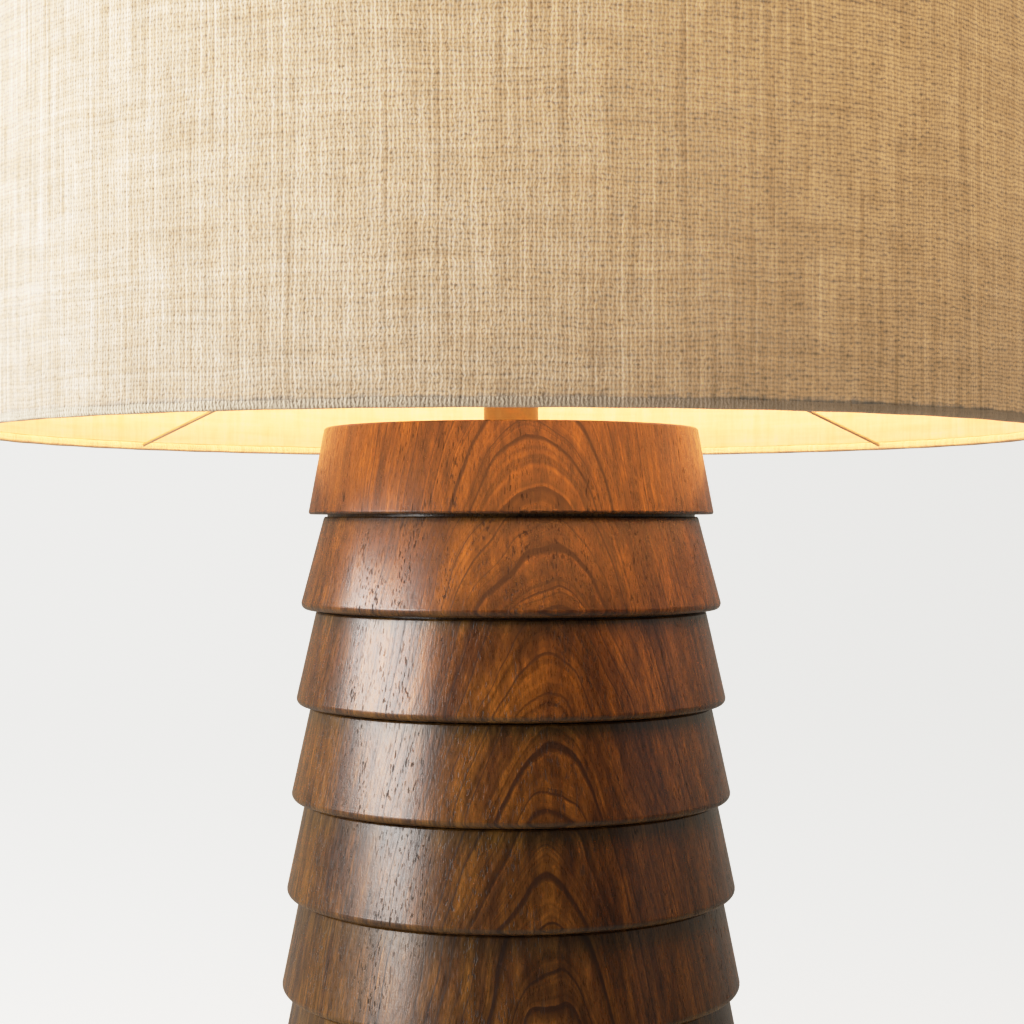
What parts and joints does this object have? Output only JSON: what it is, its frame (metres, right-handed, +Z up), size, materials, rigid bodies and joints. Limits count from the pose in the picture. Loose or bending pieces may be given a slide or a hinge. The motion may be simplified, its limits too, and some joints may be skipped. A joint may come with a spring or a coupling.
{
  "type": "table lamp",
  "caption": "Table lamp with a body of stacked, downward-flaring walnut tiers, a brass neck and a wide linen drum shade on a wire spider, lit from a switched screw lampholder.",
  "frame": {"origin": "centre of the felt pad's underside, where the lamp stands", "axes": "+Z up along the lamp's axis, +Y towards the rear, where the cord gland is, +X to the right"},
  "size_m": [0.4505, 0.4506, 0.6615],
  "materials": {
    "walnut": "satin lacquer",
    "felt": "pressed felt",
    "black_plastic": "moulded",
    "zinc_steel": "zinc plated",
    "satin_brass": "satin",
    "contact_brass": "bright",
    "ceramic": "semi-matt",
    "wire_steel": "satin coat",
    "linen": "natural slub weave",
    "linen_hem": "natural slub weave, rolled",
    "shade_liner": "translucent sheet",
    "nickel": "nickel plated",
    "white_plastic": "moulded",
    "opal_globe": "opal"
  },
  "bodies": {
    "stand": {"tier_01": "walnut", "tier_02": "walnut", "tier_03": "walnut", "tier_04": "walnut", "tier_05": "walnut", "tier_06": "walnut", "tier_07": "walnut", "tier_08": "walnut", "tier_09": "walnut", "tier_10": "walnut", "felt_pad": "felt", "cord_gland": "black_plastic", "threaded_rod": "zinc_steel", "base_washer": "zinc_steel", "base_nut": "zinc_steel", "top_washer": "zinc_steel", "top_nut": "zinc_steel", "neck_tube": "satin_brass", "holder_cap": "black_plastic", "switch_block": "ceramic", "holder_insulator": "ceramic", "terminal_screws": "contact_brass", "centre_contact": "contact_brass", "screw_shell": "contact_brass", "holder_skirt": "black_plastic"},
    "switch": {"switch_bar": "satin_brass"},
    "shade": {"fitter_ring": "wire_steel", "spider_arm_1": "wire_steel", "spider_arm_2": "wire_steel", "spider_arm_3": "wire_steel", "bottom_ring_wire": "wire_steel", "top_ring_wire": "wire_steel", "bottom_hem": "linen_hem", "top_hem": "linen_hem", "shade_liner": "shade_liner", "shade_linen": "linen"},
    "clamp": {"shade_ring": "black_plastic"},
    "bulb": {"bulb_contact": "contact_brass", "bulb_insulator": "black_plastic", "bulb_cap": "nickel", "bulb_housing": "white_plastic", "bulb_board": "white_plastic", "bulb_globe": "opal_globe"}
  },
  "joints": [
    {"name": "switch_push", "type": "slide", "parent": "stand", "child": "switch", "axis": [1, 0, 0], "range_m": [-0.004, 0]},
    {"name": "shade_lift", "type": "slide", "parent": "stand", "child": "shade", "axis": [0, 0, 1], "range_m": [0, 0.12]},
    {"name": "clamp_lift", "type": "slide", "parent": "shade", "child": "clamp", "axis": [0, 0, 1], "range_m": [0, 0.21]},
    {"name": "bulb_lift", "type": "slide", "parent": "clamp", "child": "bulb", "axis": [0, 0, 1], "range_m": [0, 0.21]}
  ]
}
